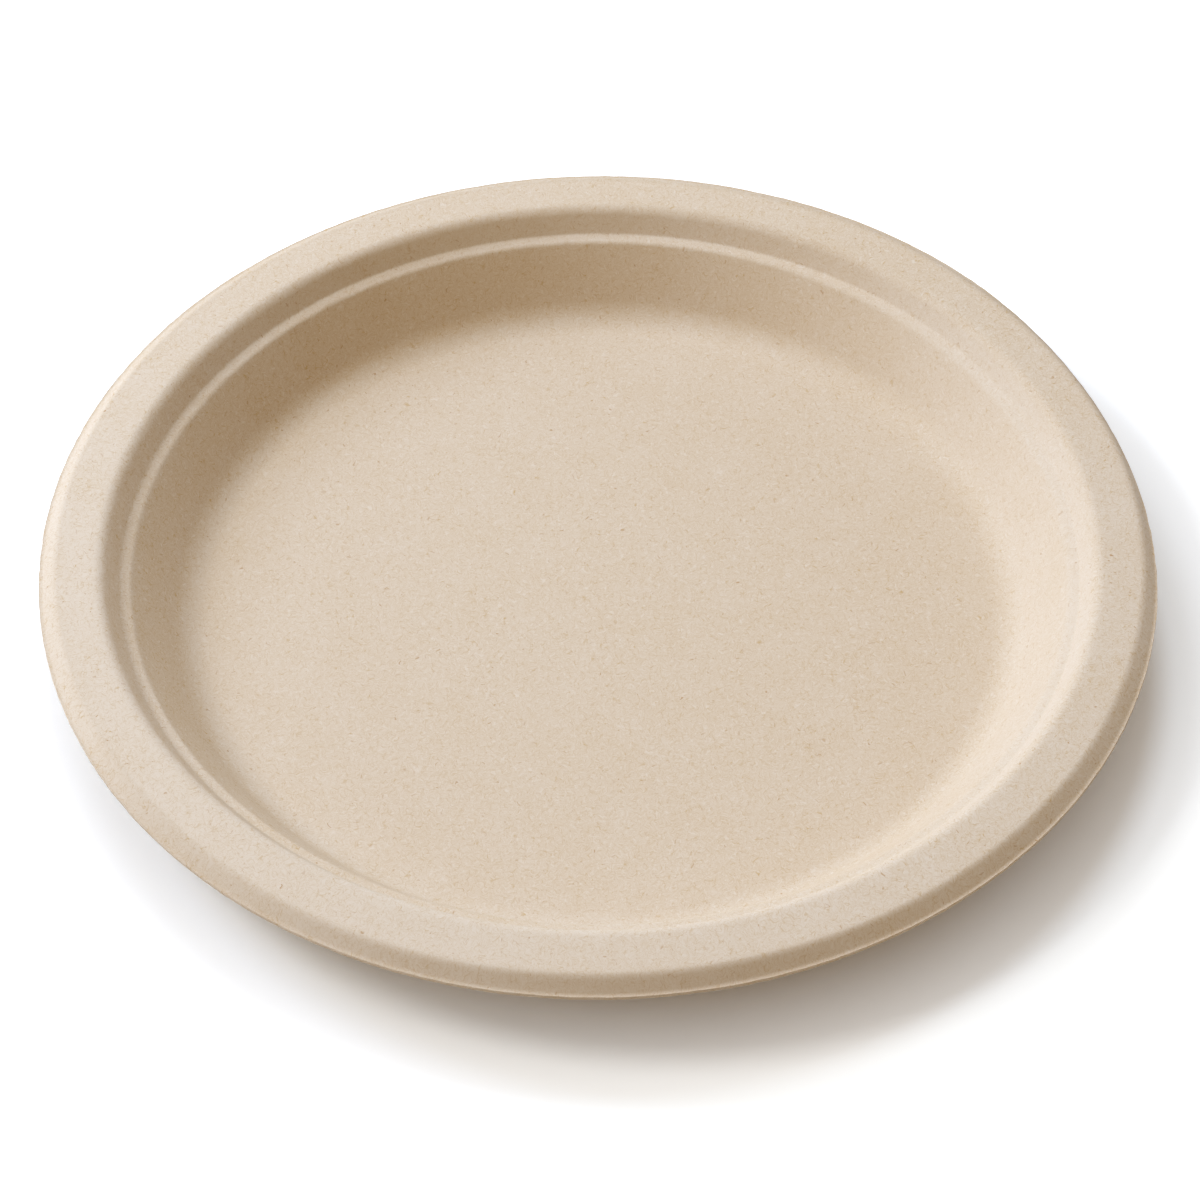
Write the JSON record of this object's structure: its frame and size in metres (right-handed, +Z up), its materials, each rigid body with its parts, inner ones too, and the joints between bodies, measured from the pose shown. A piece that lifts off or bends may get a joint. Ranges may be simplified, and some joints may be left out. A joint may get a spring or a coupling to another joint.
{
  "type": "paper plate",
  "caption": "Round disposable dinner plate pressed from plant fibre, with a flat floor, a sloping stacking ledge and a wide level rim turned down at the trimmed edge.",
  "frame": {"origin": "centre of the plate's underside, on the surface it stands on", "axes": "+Z up along the plate's axis of revolution; X and Y are free, as the plate is round"},
  "size_m": [0.228, 0.228, 0.02],
  "materials": {
    "fibre": "matte unbleached moulded plant fibre"
  },
  "bodies": {
    "root": {"plate": "fibre"}
  },
  "joints": []
}
